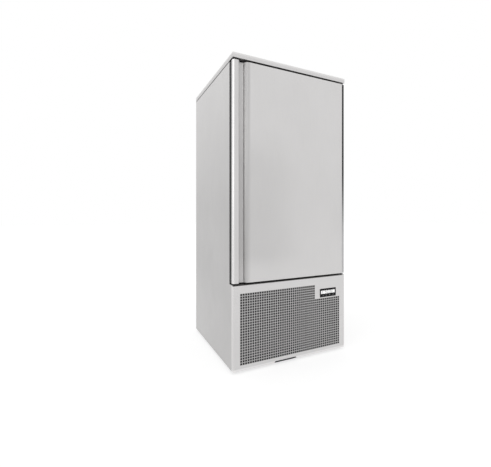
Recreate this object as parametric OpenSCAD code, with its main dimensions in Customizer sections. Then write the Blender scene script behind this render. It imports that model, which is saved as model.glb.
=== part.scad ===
// Upright blast chiller: one tall insulated door over a perforated machine compartment.
// Millimetres, +Z up. The origin is on the floor under the middle of the cabinet,
// +X is to the right and +Y runs from the door to the back.

/* [Overall] */
// Width across the side panels
body_w = 790; // [770:5:830]
// Depth from the face of the door to the back
body_d = 800; // [790:5:840]
// Height from the floor to the top cover
body_h = 1800; // [1790:5:1860]
// Clear height under the base, held by the feet
foot_h = 15; // [14:1:18]
// Thickness of the stainless sheet
sheet = 1.2; // [1:0.1:1.5]
// Thickness of the insulated side and back walls
wall = 60; // [55:1:65]

/* [Base] */
// Height of the machine compartment's front panel
base_h = 483; // [480:1:500]
// Side of a square hole in the grille
hole = 10; // [8:0.5:11]
// Distance from one hole to the next
hole_pitch = 15; // [14.8:0.1:15.2]
// Holes in a full row
grille_cols = 47; // [41:2:47]
// Rows of holes
grille_rows = 27; // [24:1:27]
// Columns left blank round the controller
blank_cols = 13; // [12:1:14]
// Rows left blank round the controller
blank_rows = 6; // [5:1:7]

/* [Door] */
// Thickness of the closed door with its gasket
door_t = 56; // [54:1:60]
// Gap under the door
gap_low = 10; // [9:1:12]
// Gap between the door and the top cover
gap_high = 11; // [10:1:14]
// Height of the top cover's folded edge
cap_h = 28; // [24:1:34]
// Shadow gap between the side panels and the top cover
lid_gap = 3; // [2:0.5:4]
// Depth of the steel pan that faces the door
pan_d = 26; // [25.5:0.5:28]
// Width of the full-height grip along the free edge
grip_w = 42; // [38:1:46]
// Depth of the finger channel behind the grip
channel_d = 24; // [20:1:24]
// Distance from the free edge to the flat part of the door
flat_u = 103; // [98:1:110]
// Width of the dark hinge strip at the hinge edge
strip_w = 17.7; // [16:0.1:20]

/* [Cold room] */
// Height of the floor and roof insulation
slab = 55; // [50:1:60]
// Number of tray levels
levels = 15; // [10:1:15]
// Height from one tray level to the next
level_pitch = 68; // [62:1:68]
// Number of circulating fans on the evaporator
evap_fans = 3; // [3:1:3]

/* [Hidden] */
$fn = 48;

// Planes that the whole cabinet shares
left = -body_w / 2;
right = body_w / 2;
front = -body_d / 2;
back = body_d / 2;
base_z = foot_h;
base_top = base_z + base_h;
cap_z = body_h - cap_h;
shell_top = cap_z - lid_gap;
door_z = base_top + gap_low;
door_top = cap_z - gap_high;
door_h = door_top - door_z;
cab_y = front + door_t;
panel_y = front + 2;
corner_r = 6;
seam = 0.3;

// Front and back edges of the cabinet
side_return = 30;
back_return = 19;
foot_return = 15;
front_return = 23;
low_side_y = front + front_return + 2.5;
recess_d = 18;
frame_t = 4;
rail_h = 32;

// Cold room
room_x = body_w / 2 - wall;
room_y = back - wall;
room_z = base_top + slab;
room_top = cap_z - slab;
room_h = room_top - room_z;
room_r = 15;
room_mid = room_z + room_h / 2;

// Grille, controller and drip tray notch
grille_w = (grille_cols - 1) * hole_pitch + hole;
grille_z = base_z + 32;
ctrl_w = 126;
ctrl_h = 54;
ctrl_x = 260;
ctrl_z = base_z + 377;
ctrl_cut = [114, 42];
window = [112, 26];
window_z = ctrl_z + 5;
key = [16, 8];
key_z = ctrl_z - 16;
key_pitch = 26;
notch_x = -56;
notch_w = 152;
notch_h = 10;
notch_r = 9;

// Machine compartment
pan_z = base_z + sheet;
floor_z = pan_z + sheet;
foot_x = 330;
foot_y = 320;
stem_r = 5;
run_gap = 0.05;
drain = [notch_x, -110];
drain_r = 13;
tray_w = 134;
tray_len = 335;
tray_top = floor_z + 3;
tray_y = [panel_y + 20, panel_y + 20 + tray_len];
rail_t = 1.5;
cond_x = [-350, 110];
cond_y = [-345, -275];
cond_h = [60, 440];
cond_fans = [-235, -5];
cond_fan_z = 250;
shroud_y = cond_y[1];
gland = [320, 60];
gland_r = 10;
receiver_at = [-150, 200];
receiver_r = 50;
receiver_z = [floor_z + 40, floor_z + 220];
valve_top = receiver_z[1] + 46;
ebox_x = [140, 306];
ebox_y = [-330, -250];
ebox_top = 320;
probe_y = -250;
probe_z = room_top - 80;
bracket_t = 4;
collar = [8, 2.5];
comp = [210, 170];
comp_r = 100;

// Evaporator
cover_y = 100;
cover_x = 300;
cover_z = [room_z + 47, room_top - 27];
fan_step = (cover_z[1] - cover_z[0]) / evap_fans;
fan_r = 100;
ring_r = 108;
hub_r = 32;
shaft_r = 4;
coil_x = 240;
coil_y = [215, 335];
coil_z = [room_z + 87, room_top - 57];

// Door, in its own plan: u from the free edge, d back from the face
door_w = body_w - 21;
ramp_r = channel_d + 13.5;
grip_r = [12, 14];
profile_d = 48;
profile_bar = 22;
hinge = [right - 11.5, front + 24];
pin_r = 5;
bush_r = 7;
bush_h = 25;
gasket_in = 5;
gasket_w = 16;

// Tray rack
rack_x = 330;
upright = [12, 22];
upright_y = [-285, 45];
level_z = room_z + 67;
runner_y = [-310, 75];

steel = [0.78, 0.77, 0.77];
zinc = [0.66, 0.67, 0.69];
dark = [0.12, 0.12, 0.13];
copper = [0.72, 0.45, 0.3];

// ---------------------------------------------------------------- helpers

// A box from three [low, high] pairs
module block(x, y, z) {
    translate([x[0], y[0], z[0]]) cube([x[1] - x[0], y[1] - y[0], z[1] - z[0]]);
}

// A rectangle with true round corners, centred
module rounded(w, h, r) {
    square([w, h - 2 * r], center = true);
    square([w - 2 * r, h], center = true);
    for (sx = [-1, 1], sy = [-1, 1])
        translate([sx * (w / 2 - r), sy * (h / 2 - r)]) circle(r);
}

// Stands a plan drawn in X and Z up, and runs it back from y by t
module standing(y, t) {
    translate([0, y + t, 0]) rotate([90, 0, 0]) linear_extrude(t) children();
}

// A cylinder along +Y
module round_y(x, y, z, r, len) {
    translate([x, y, z]) rotate([-90, 0, 0]) cylinder(r = r, h = len);
}

// A straight bar or tube piece from a to b
module rod(a, b, r) {
    v = b - a;
    len = norm(v);
    translate(a) rotate([0, acos(v[2] / len), atan2(v[1], v[0])]) cylinder(r = r, h = len);
}

// A bent tube through a list of corners
module tube_run(points, r) {
    for (i = [1 : len(points) - 1]) rod(points[i - 1], points[i], r);
    for (i = [1 : len(points) - 2]) translate(points[i]) sphere(r);
}

function evap_fan_z(i) = cover_z[0] + fan_step * (i + 0.5);

// ---------------------------------------------------------------- cabinet shell

module side_sheet() {
    top = shell_top;
    difference() {
        block([left, left + sheet], [low_side_y, back], [base_z, top]);
        block([left - 1, left + 2 * sheet], [low_side_y - 1, cab_y], [base_top, top + 1]);
    }
    block([left, left + side_return], [cab_y, cab_y + sheet], [base_top, top]);
    block([left, left + back_return], [back - sheet, back], [base_z, top]);
    block([left, left + foot_return], [low_side_y, back], [base_z, base_z + sheet]);
}

module left_side_panel() {
    color(steel) side_sheet();
}

module right_side_panel() {
    color(steel) mirror([1, 0, 0]) side_sheet();
}

module rear_panel() {
    x = right - back_return - seam;
    color(zinc) block([-x, x], [back - sheet, back], [base_top + sheet, shell_top]);
}

// Recessed cover over the back of the machine compartment, with air slots
module rear_service_panel() {
    x = right - back_return - 2;
    flange = 14;
    z = [floor_z + seam, base_top - 2];
    slots = [3, 16];
    slot = [150, 7];
    slot_step = [200, 22];
    color(zinc) difference() {
        union() {
            block([-x, x], [back - recess_d - sheet, back - recess_d], z);
            for (s = [-1, 1]) {
                block([s * x - (s + 1) / 2 * sheet, s * x + (1 - s) / 2 * sheet],
                      [back - recess_d - sheet, back - sheet], z);
                block([s * x - (1 - s) / 2 * flange, s * x + (s + 1) / 2 * flange],
                      [back - 2 * sheet, back - sheet], z);
            }
        }
        for (c = [0 : slots[0] - 1], r = [0 : slots[1] - 1])
            translate([(c - (slots[0] - 1) / 2) * slot_step[0], 0, z[0] + 60 + r * slot_step[1]])
                standing(back - recess_d - 5, 10)
                    rounded(slot[0], slot[1], slot[1] / 2 - 0.01);
        round_y(gland[0], back - recess_d - 5, gland[1], gland_r + 0.2, 10);
    }
}

// Folded lid: its front edge runs out over the door, and four posts stand it on the roof
module top_cover() {
    x = right - sheet / 2;
    post = [14, 60];
    post_y = [cab_y + 40, back - 30 - post[1]];
    color(steel) {
        difference() {
            block([left, right], [front, back], [cap_z, body_h]);
            block([left + sheet, right - sheet], [front + sheet, back - sheet],
                  [cap_z - 1, body_h - sheet]);
        }
        block([-x, x], [front + sheet / 2, cab_y - seam], [cap_z, cap_z + sheet]);
        for (s = [-1, 1], y = post_y)
            translate([s * (x - post[0]), y, 0])
                block([-post[0] / 2, post[0] / 2], [0, post[1]], [shell_top, body_h - sheet / 2]);
    }
}

// Bottom sheet of the insulated body, with the steel rail under the doorway
module cabinet_underside() {
    x = right - sheet;
    rail = right - side_return - seam;
    color(zinc) difference() {
        union() {
            block([-x, x], [cab_y + sheet, back - sheet], [base_top, base_top + sheet]);
            block([-rail, rail], [cab_y, cab_y + sheet + 0.5],
                  [base_top, base_top + rail_h]);
        }
        translate([drain[0], drain[1], base_top - 1]) cylinder(r = drain_r + 0.3, h = 5);
    }
}

module cabinet_roof() {
    x = right - sheet;
    rail = right - side_return - seam;
    top = shell_top;
    color(zinc) {
        block([-x, x], [cab_y + sheet, back - sheet], [top - sheet, top]);
        block([-rail, rail], [cab_y, cab_y + sheet + 0.5], [top - rail_h, top]);
    }
}

// Foam round the cold room
module insulation() {
    x = right - sheet;
    color([0.93, 0.86, 0.62]) difference() {
        block([-x, x], [cab_y + frame_t, back - sheet],
              [base_top + sheet, shell_top - sheet]);
        translate([0, 0, room_mid])
            standing(cab_y, room_y + sheet - cab_y)
                rounded(2 * (room_x + sheet), room_h + 2 * sheet, room_r + sheet);
        translate([drain[0], drain[1], base_top]) cylinder(r = drain_r + 0.3, h = slab);
        translate([room_x, probe_y, probe_z]) rotate([0, 90, 0]) cylinder(r = 8, h = 20);
    }
}

// Stainless cold room with coved corners
module cavity_liner() {
    y0 = cab_y + frame_t;
    color(steel) difference() {
        union() {
            translate([0, 0, room_mid]) standing(y0, room_y - y0) difference() {
                rounded(2 * (room_x + sheet), room_h + 2 * sheet, room_r + sheet);
                rounded(2 * room_x, room_h, room_r);
            }
            translate([0, 0, room_mid]) standing(room_y, sheet)
                rounded(2 * (room_x + sheet), room_h + 2 * sheet, room_r + sheet);
        }
        translate([drain[0], drain[1], room_z - 5]) cylinder(r = drain_r + 0.3, h = 10);
        translate([room_x - 5, probe_y, probe_z]) rotate([0, 90, 0]) cylinder(r = 6.2, h = 10);
    }
}

// Dark plastic break between the outer skin and the liner
module frame_profile() {
    low = base_top + rail_h + seam;
    high = shell_top - rail_h - seam;
    color(dark) difference() {
        block([left + side_return + seam, right - side_return - seam],
              [cab_y, cab_y + frame_t], [low, high]);
        translate([0, 0, room_mid]) standing(cab_y - 1, frame_t + 2)
            rounded(2 * room_x, room_h, room_r);
    }
}

// ---------------------------------------------------------------- base

// Corners of the plan of one foot
module at_feet() {
    for (sx = [-1, 1], sy = [-1, 1]) translate([sx * foot_x, sy * foot_y, 0]) children();
}

module base_pan() {
    x = right - sheet;
    slot = [notch_x - notch_w / 2 - 2, notch_x + notch_w / 2 + 2];
    y0 = panel_y + sheet;
    y1 = back - recess_d - 2 * sheet;
    wide_y = low_side_y + 0.5;
    lip = base_z + 25;
    color(zinc) difference() {
        union() {
            block([-x + 8, x - 8], [y0, y1], [pan_z, floor_z]);
            block([-x, x], [wide_y, y1], [pan_z, floor_z]);
            block([-x + 8, x - 8], [y0, y0 + sheet], [pan_z, lip]);
            block([-x + 20, x - 20], [y1 - sheet, y1], [pan_z, lip]);
            for (s = [-1, 1])
                block([s * x - (s + 1) / 2 * sheet, s * x + (1 - s) / 2 * sheet],
                      [wide_y, y1], [pan_z, lip]);
            at_feet() translate([0, 0, floor_z - 0.5]) cylinder(r = 12, h = 12.5);
        }
        block(slot, [front - 1, tray_y[1] + 5], [base_z - 1, base_z + 30]);
        at_feet() translate([0, 0, base_z]) cylinder(r = stem_r + run_gap, h = 20);
    }
}

// Square holes in rows, all but the block left plain round the controller
module grille_holes() {
    for (c = [0 : grille_cols - 1], r = [0 : grille_rows - 1])
        if (c < grille_cols - blank_cols || r < grille_rows - blank_rows)
            translate([-grille_w / 2 + c * hole_pitch, panel_y - 2,
                       grille_z + r * hole_pitch])
                cube([hole, 6, hole]);
}

// Folded front of the machine compartment: the grille is punched in its face
module base_front_panel() {
    depth = front_return;
    x = right - sheet;
    color(steel) difference() {
        union() {
            translate([0, 0, base_z]) linear_extrude(base_h) intersection() {
                difference() {
                    translate([0, panel_y + 50]) rounded(body_w, 100, corner_r);
                    translate([0, panel_y + 50 + sheet])
                        rounded(body_w - 2 * sheet, 100, corner_r - sheet);
                }
                translate([left - 1, panel_y - 1]) square([body_w + 2, depth + 1]);
            }
            block([left + 5, right - 5], [panel_y + 0.5, panel_y + depth],
                  [base_top - sheet, base_top]);
            block([-x, x], [panel_y + depth - 0.5, cab_y - seam],
                  [base_top - sheet, base_top]);
            block([left + 10, right - 10], [panel_y + 0.5, panel_y + 12],
                  [base_z, base_z + sheet]);
        }
        grille_holes();
        translate([ctrl_x, 0, ctrl_z])
            cube([ctrl_cut[0] + 0.6, 2 * body_d, ctrl_cut[1] + 0.6], center = true);
        translate([notch_x, 0, base_z]) standing(panel_y - 5, 25)
            rounded(notch_w, 2 * notch_h, notch_r);
    }
}

// One levelling foot: wide pad, collar and threaded stem
module foot(sx, sy) {
    color(dark) translate([sx * foot_x, sy * foot_y, 0]) {
        cylinder(r1 = 22, r2 = 20, h = 7);
        translate([0, 0, 6.5]) cylinder(r = 10, h = 5.5, $fn = 6);
        translate([0, 0, 11.5]) cylinder(r = stem_r, h = 20);
    }
}

// Two strips on the base pan that carry the drip tray's edges
module tray_rails() {
    inner = tray_w / 2 + 1.5;
    color(zinc) for (s = [-1, 1]) {
        a = notch_x + s * inner;
        b = notch_x + s * (notch_w / 2 + 22);
        block([min(a, b), max(a, b)], [tray_y[0], tray_y[0] + tray_len],
              [floor_z, floor_z + rail_t]);
    }
}

// Shallow moulded tray that hangs on its rails by two rims and slides out through the
// notch. Its front rim turns down behind the panel, and fingers hook it from below.
module condensate_tray() {
    low = 6;
    y = tray_y;
    rim = notch_w / 2 - 2.5;
    half = tray_w / 2;
    top = floor_z + rail_t + seam + sheet;
    pull_y = panel_y + 4;
    color(dark) {
        difference() {
            block([notch_x - half, notch_x + half], y, [low, top]);
            block([notch_x - half + sheet, notch_x + half - sheet],
                  [y[0] + sheet, y[1] - sheet], [low + sheet, top + 1]);
        }
        for (s = [-1, 1])
            block([min(notch_x + s * (half - 0.5), notch_x + s * rim),
                   max(notch_x + s * (half - 0.5), notch_x + s * rim)],
                  y, [top - sheet, top]);
        block([notch_x - rim, notch_x + rim], [pull_y, y[0] + sheet], [top - sheet, top]);
        block([notch_x - rim, notch_x + rim], [pull_y, pull_y + sheet], [base_z, top]);
    }
}

// ---------------------------------------------------------------- controller

module controller_bezel() {
    y = panel_y - sheet;
    color(dark) difference() {
        union() {
            translate([ctrl_x, 0, ctrl_z]) standing(y, sheet) rounded(ctrl_w, ctrl_h, 3);
            translate([ctrl_x, 0, ctrl_z]) standing(y, 5.2) difference() {
                square(ctrl_cut, center = true);
                square([ctrl_cut[0] - 1, ctrl_cut[1] - 1], center = true);
            }
        }
        translate([ctrl_x, 0, window_z]) standing(y - 1, 3) square(window, center = true);
        for (i = [0 : 3])
            translate([key_x(i), 0, key_z]) standing(y - 1, 3)
                rounded(key[0] + 0.6, key[1] + 0.6, 1.8);
    }
}

function key_x(i) = ctrl_x + (i - 1.5) * key_pitch;

module controller_case() {
    color(dark) block([ctrl_x - ctrl_cut[0] / 2, ctrl_x + ctrl_cut[0] / 2],
                      [panel_y + 4, panel_y + 62],
                      [ctrl_z - ctrl_cut[1] / 2, ctrl_z + ctrl_cut[1] / 2]);
}

module display_board() {
    color([0.9, 0.91, 0.9]) translate([ctrl_x, 0, window_z])
        standing(panel_y + 0.9, 3.1) square([window[0] - 2, window[1] - 4], center = true);
}

module display_window() {
    color([0.8, 0.85, 0.88, 0.5]) translate([ctrl_x, 0, window_z])
        standing(panel_y - 0.9, 1.5)
            square([window[0] - 0.3, window[1] - 0.3], center = true);
}

// A key stands slightly proud of the bezel and moves straight in
module key_cap(i) {
    color([0.35, 0.36, 0.38]) translate([key_x(i), 0, key_z])
        standing(front, 4.8) rounded(key[0], key[1], 1.5);
}

// ---------------------------------------------------------------- tray rack

module rack_uprights() {
    h = [level_z - 30, level_z + (levels - 1) * level_pitch + 45];
    color(steel) for (s = [-1, 1], y = upright_y) difference() {
        x = [min(s * rack_x, s * (rack_x - upright[0])),
             max(s * rack_x, s * (rack_x - upright[0]))];
        block(x, [y - upright[1] / 2, y + upright[1] / 2], h);
        for (z = [h[0] + 20, h[1] - 20])
            rod([s * (rack_x - 20), y, z], [s * (rack_x + 10), y, z], 4.2);
    }
}

// One pair of angle runners a level
module tray_runners() {
    x = rack_x - upright[0];
    color(steel) for (s = [-1, 1], i = [0 : levels - 1]) {
        z = level_z + i * level_pitch;
        block([min(s * x, s * (x - sheet)), max(s * x, s * (x - sheet))],
              runner_y, [z - 18, z]);
        block([min(s * x, s * (x - 30)), max(s * x, s * (x - 30))],
              runner_y, [z - sheet, z]);
    }
}

module rack_pins() {
    z0 = level_z - 10;
    z1 = level_z + (levels - 1) * level_pitch + 25;
    color(zinc) for (s = [-1, 1], y = upright_y, z = [z0, z1]) {
        rod([s * room_x, y, z], [s * (rack_x - upright[0] + 1.5), y, z], 4);
    }
}

// ---------------------------------------------------------------- evaporator

// Fan panel in front of the coil, with a bell-mouth ring at each fan
module evaporator_cover() {
    deep = 20;
    color(steel) difference() {
        union() {
            difference() {
                block([-cover_x, cover_x], [cover_y, cover_y + deep], cover_z);
                block([-cover_x + sheet, cover_x - sheet],
                      [cover_y + sheet, cover_y + deep + 1],
                      [cover_z[0] + sheet, cover_z[1] - sheet]);
            }
            for (i = [0 : evap_fans - 1])
                round_y(0, cover_y, evap_fan_z(i), ring_r + sheet, 42);
        }
        for (i = [0 : evap_fans - 1])
            round_y(0, cover_y - 1, evap_fan_z(i), ring_r, 50);
        for (s = [-1, 1], z = [cover_z[0] + 30, cover_z[1] - 30])
            round_y(s * (cover_x - 20), cover_y - 1, z, 2.6, 5);
    }
}

// Wire guard: rings welded on six spokes, held by three tabs
module fan_guards() {
    wire = 3;
    y = cover_y - 2 * wire;
    color(zinc) for (i = [0 : evap_fans - 1]) translate([0, y, evap_fan_z(i)]) {
        for (r = [24 : 22 : 112])
            rotate([-90, 0, 0]) difference() {
                cylinder(r = r + wire / 2, h = wire);
                translate([0, 0, -1]) cylinder(r = r - wire / 2, h = wire + 2);
            }
        for (a = [0 : 60 : 150])
            rotate([0, a, 0]) block([-114, 114], [wire - 0.5, 2 * wire], [-1.5, 1.5]);
        round_y(0, 0, 0, 14, wire);
    }
}

// Motor can with the fixed shaft that its rotor turns on
module fan_motor(x, y, z, shaft) {
    round_y(x, y, z, 38, 42);
    round_y(x, y + 42 - 0.5, z, 26, 8);
    round_y(x, y - shaft, z, shaft_r, shaft + 1);
}

// Strap that carries a motor across its ring
module fan_strap(x, y, z) {
    difference() {
        union() {
            block([x - ring_r, x + ring_r], [y, y + 3], [z - 12, z + 12]);
            round_y(x, y, z, 40, 3);
        }
        round_y(x, y - 1, z, shaft_r + 0.4, 5);
    }
}

// Axial rotor: bored hub and five pitched blades
module rotor(x, y, z) {
    blade = [fan_r - 2, 34, 2];
    difference() {
        union() {
            round_y(x, y, z, hub_r, 24);
            intersection() {
                round_y(x, y, z, fan_r, 24);
                translate([x, y + 12, z]) for (a = [0 : 72 : 288])
                    rotate([0, a, 0]) rotate([32, 0, 0])
                        translate([hub_r - 6, -blade[2] / 2, -blade[1] / 2 - 6])
                            cube([blade[0] - hub_r + 6, blade[2], blade[1] + 12]);
            }
        }
        round_y(x, y - 1, z, shaft_r + run_gap, 30);
    }
}

module evaporator_fan_motors() {
    color(dark) for (i = [0 : evap_fans - 1])
        fan_motor(0, cover_y + 45, evap_fan_z(i), 33);
}

module evaporator_fan_brackets() {
    color(zinc) for (i = [0 : evap_fans - 1]) fan_strap(0, cover_y + 42, evap_fan_z(i));
}

module evaporator_rotor(i) {
    color([0.2, 0.2, 0.22]) rotor(0, cover_y + 12, evap_fan_z(i));
}

// Finned coil between two end plates
module evaporator_coil() {
    fins = 30;
    step = (2 * coil_x - 20) / (fins - 1);
    color([0.7, 0.72, 0.74]) {
        block([-coil_x, coil_x], [coil_y[0] + 8, coil_y[1] - 8],
              [coil_z[0] + 8, coil_z[1] - 8]);
        for (i = [0 : fins - 1])
            translate([-coil_x + 10 + i * step, 0, 0])
                block([-1, 1], coil_y, coil_z);
        for (s = [-1, 1])
            block([min(s * coil_x, s * (coil_x + 2)) - 0.5,
                   max(s * coil_x, s * (coil_x + 2)) + 0.5],
                  [coil_y[0] - 5, room_y], [coil_z[0] - 10, coil_z[1] + 10]);
    }
}

module cover_standoffs() {
    color(zinc) for (s = [-1, 1], z = [cover_z[0] + 30, cover_z[1] - 30]) {
        round_y(s * (cover_x - 20), cover_y + sheet, z, 8, room_y - cover_y - sheet);
        round_y(s * (cover_x - 20), cover_y - 0.2, z, 2.4, 5);
        round_y(s * (cover_x - 20), cover_y - 3, z, 6, 3);
    }
}

module probe_gland() {
    color(dark) translate([room_x - 8, probe_y, probe_z]) rotate([0, 90, 0]) {
        cylinder(r = 11, h = 8, $fn = 6);
        cylinder(r = 6, h = 20);
    }
}

// Drain from the cold room's floor, with a flange that hangs it in the liner
module drain_pipe() {
    low = tray_top + 8;
    color([0.85, 0.85, 0.83]) translate([drain[0], drain[1], low]) difference() {
        union() {
            cylinder(r = drain_r, h = room_z - low + 0.5);
            translate([0, 0, room_z - low]) cylinder(r = drain_r + 7, h = 1.5);
        }
        translate([0, 0, -1]) cylinder(r = drain_r - 2, h = room_z);
    }
}

// ---------------------------------------------------------------- machine compartment

// Finned block between two end plates that stand on the base pan
module condenser_coil() {
    fins = 42;
    step = (cond_x[1] - cond_x[0] - 20) / (fins - 1);
    color([0.16, 0.16, 0.17]) {
        block([cond_x[0], cond_x[1]], [cond_y[0] + 6, cond_y[1] - 6],
              [cond_h[0] + 6, cond_h[1] - 6]);
        for (i = [0 : fins - 1])
            translate([cond_x[0] + 10 + i * step, 0, 0])
                block([-0.8, 0.8], cond_y, cond_h);
        for (x = cond_x)
            block([x - 1, x + 1], [cond_y[0] - 3, cond_y[1]], [floor_z, cond_h[1] + 8]);
    }
}

// Plate with two ducts that close the coil to its fans
module condenser_shroud() {
    color(zinc) difference() {
        union() {
            block([cond_x[0], cond_x[1]], [shroud_y, shroud_y + sheet], cond_h);
            for (x = cond_fans)
                round_y(x, shroud_y, cond_fan_z, ring_r + sheet, 42);
        }
        for (x = cond_fans) round_y(x, shroud_y - 1, cond_fan_z, ring_r, 50);
    }
}

module condenser_fan_motors() {
    color(dark) for (x = cond_fans) fan_motor(x, shroud_y + 45, cond_fan_z, 33);
}

module condenser_fan_brackets() {
    color(zinc) for (x = cond_fans) fan_strap(x, shroud_y + 42, cond_fan_z);
}

module condenser_rotor(i) {
    color([0.55, 0.56, 0.58]) rotor(cond_fans[i], shroud_y + 12, cond_fan_z);
}

// Hermetic compressor: welded dome, waist seam and base plate
module compressor() {
    foot_top = floor_z + 22;
    color([0.1, 0.1, 0.11]) translate([comp[0], comp[1], foot_top]) {
        difference() {
            translate([-115, -95, 0]) cube([230, 190, 4]);
            for (sx = [-1, 1], sy = [-1, 1])
                translate([sx * 100, sy * 80, -1]) cylinder(r = 6.2, h = 6);
        }
        rotate_extrude() {
            translate([0, 3.5]) square([comp_r - 18, 196]);
            translate([0, 21]) square([comp_r, 142]);
            translate([comp_r - 18, 21.5]) circle(18);
            translate([comp_r - 18, 162]) circle(18);
            translate([0, 99]) square([comp_r + 5, 8]);
            translate([0, 190]) square([40, 18]);
        }
        translate([-comp_r - 24, -32, 70]) cube([40, 64, 60]);
    }
}

module compressor_grommets() {
    color(dark) for (sx = [-1, 1], sy = [-1, 1])
        translate([comp[0] + sx * 100, comp[1] + sy * 80, floor_z]) {
            cylinder(r = 13, h = 22);
            cylinder(r = 6, h = 26.5);
            translate([0, 0, 26]) cylinder(r = 11, h = 6);
        }
}

// Upright liquid receiver on a foot ring
module receiver() {
    at = [receiver_at[0], receiver_at[1], 0];
    h = receiver_z[1] - receiver_z[0];
    color([0.14, 0.14, 0.15]) {
        translate(at + [0, 0, floor_z]) cylinder(r = 34, h = 14);
        translate(at + [0, 0, receiver_z[0]]) cylinder(r = receiver_r, h = h);
        for (z = receiver_z) translate(at + [0, 0, z]) intersection() {
            sphere(receiver_r);
            cube([120, 120, 64], center = true);
        }
        translate(at + [0, 0, valve_top - 26]) cylinder(r = 12, h = 26);
    }
}

// Rigid copper lines between compressor, condenser, receiver and coil
module refrigerant_pipes() {
    top = base_top - 40;
    tube_r = 5;
    x = [cond_x[0] - 20, cond_x[1] + 14];
    y = [(cond_y[0] + cond_y[1]) / 2, -200];
    z = [cond_h[0] + 30, cond_h[1] - 40];
    turn = valve_top + 32;
    color(copper) {
        tube_run([[comp[0], comp[1], floor_z + 230], [comp[0], comp[1], top],
                  [comp[0], y[1], top], [x[1], y[1], top], [x[1], y[0], top],
                  [x[1], y[0], z[1]], [cond_x[1] + 1, y[0], z[1]]], tube_r);
        tube_run([[cond_x[0] - 1, y[0], z[0]], [x[0], y[0], z[0]],
                  [x[0], receiver_at[1], z[0]], [x[0], receiver_at[1], turn],
                  [receiver_at[0], receiver_at[1], turn],
                  [receiver_at[0], receiver_at[1], valve_top]], tube_r);
    }
}

// Contactor and terminal box, with a lid that laps its edge
module electrical_box() {
    color(zinc) {
        block(ebox_x, ebox_y, [floor_z, ebox_top]);
        block([ebox_x[0] - 2, ebox_x[1] + 2], [ebox_y[0] - 3, ebox_y[0] + 2],
              [floor_z + 10, ebox_top + 2]);
    }
}

// Nut and collar for the mains lead, in the service panel
module cable_gland() {
    y = back - recess_d;
    x = gland[0];
    z = gland[1];
    color(dark) difference() {
        union() {
            round_y(x, y - 12, z, gland_r, 28);
            for (nut_y = [y, y - sheet - 6])
                translate([x, nut_y, z]) rotate([-90, 0, 0]) cylinder(r = 15, h = 6, $fn = 6);
            round_y(x, y + 5.5, z, gland_r + 2, 8);
        }
        round_y(x, y - 20, z, 5, 50);
    }
}

// ---------------------------------------------------------------- hinge

// Upper and lower plates that hold the pins in front of the cabinet
module hinge_brackets() {
    x = [right - 45, right - 3];
    y = [front + 12, cab_y - seam];
    color(zinc) difference() {
        union() {
            block(x, y, [base_top, base_top + bracket_t]);
            block(x, y, [cap_z - bracket_t, cap_z]);
        }
        translate([hinge[0], hinge[1], base_top - 1])
            cylinder(r = pin_r + run_gap, h = cap_z - base_top + 2);
    }
}

// Lower pin with the collar that carries the door, and the upper pin
module hinge_pins() {
    color(zinc) translate([hinge[0], hinge[1], 0]) {
        translate([0, 0, base_top]) cylinder(r = pin_r, h = gap_low + bush_h - 3);
        translate([0, 0, base_top + bracket_t]) cylinder(r = collar[0], h = collar[1]);
        translate([0, 0, door_top - bush_h + 3])
            cylinder(r = pin_r, h = cap_z - door_top + bush_h - 3);
    }
}

// ---------------------------------------------------------------- door

// Region in front of the finger channel, grown by e so that sheet keeps its thickness:
// a round edge on the grip, a flat floor, and one convex arc out to the face
module channel_plan(e) {
    difference() {
        translate([grip_r[0] + 16, -1]) square([grip_w - e - grip_r[0] - 16, grip_r[1] + 1]);
        translate([grip_w - grip_r[1], grip_r[1]]) circle(grip_r[1] - e);
    }
    difference() {
        translate([grip_w - e, -1]) square([flat_u - grip_w + e, channel_d + e + 1]);
        translate([flat_u, ramp_r]) circle(ramp_r - e);
    }
}

// Plan of the door's steel face, inset by e, down to depth d
module door_plan(e, d) {
    r = grip_r[0];
    difference() {
        union() {
            translate([r, e]) square([door_w - r - e, d - e]);
            translate([e, r]) square([r, d - r]);
            translate([r, r]) circle(r - e);
        }
        channel_plan(e);
    }
}

// Puts a plan in u and d at the door's face
module at_door(z) {
    translate([left, front, z]) children();
}

// Stainless pan: rolled grip, finger channel and flat face in one sheet
module door_skin() {
    color(steel) {
        at_door(door_z) linear_extrude(door_h) difference() {
            door_plan(0, pan_d);
            door_plan(sheet, pan_d + 1);
        }
        for (z = [door_z, door_top - sheet])
            at_door(z) linear_extrude(sheet) door_plan(0, pan_d);
    }
}

// Dark plastic frame behind the pan, and the strip that shows at the hinge edge
module door_edge_profile() {
    x = [left + 1, left + door_w + strip_w + seam];
    z = [door_z + 0.5, door_top - 0.5];
    color(dark) difference() {
        union() {
            difference() {
                block(x, [front + pan_d, front + profile_d], z);
                block([x[0] + profile_bar, x[1] - profile_bar], [front, cab_y],
                      [z[0] + profile_bar, z[1] - profile_bar]);
            }
            block([left + door_w + seam, x[1]], [front + 4, front + pan_d + 1], z);
        }
        for (zb = [z[0] - 1, z[1] - bush_h])
            translate([hinge[0], hinge[1], zb]) cylinder(r = bush_r + run_gap, h = bush_h + 1);
    }
}

module door_insulation() {
    in = 0.02;
    bar = profile_bar + in;
    color([0.93, 0.86, 0.62]) {
        at_door(door_z + sheet) linear_extrude(door_h - 2 * sheet) difference() {
            door_plan(sheet + in, pan_d);
            translate([-1, pan_d - 0.01]) square([body_w, 5]);
        }
        block([left + 1 + bar, left + door_w + strip_w + seam - bar],
              [front + pan_d - 0.5, front + profile_d],
              [door_z + 0.5 + bar, door_top - 0.5 - bar]);
    }
}

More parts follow.
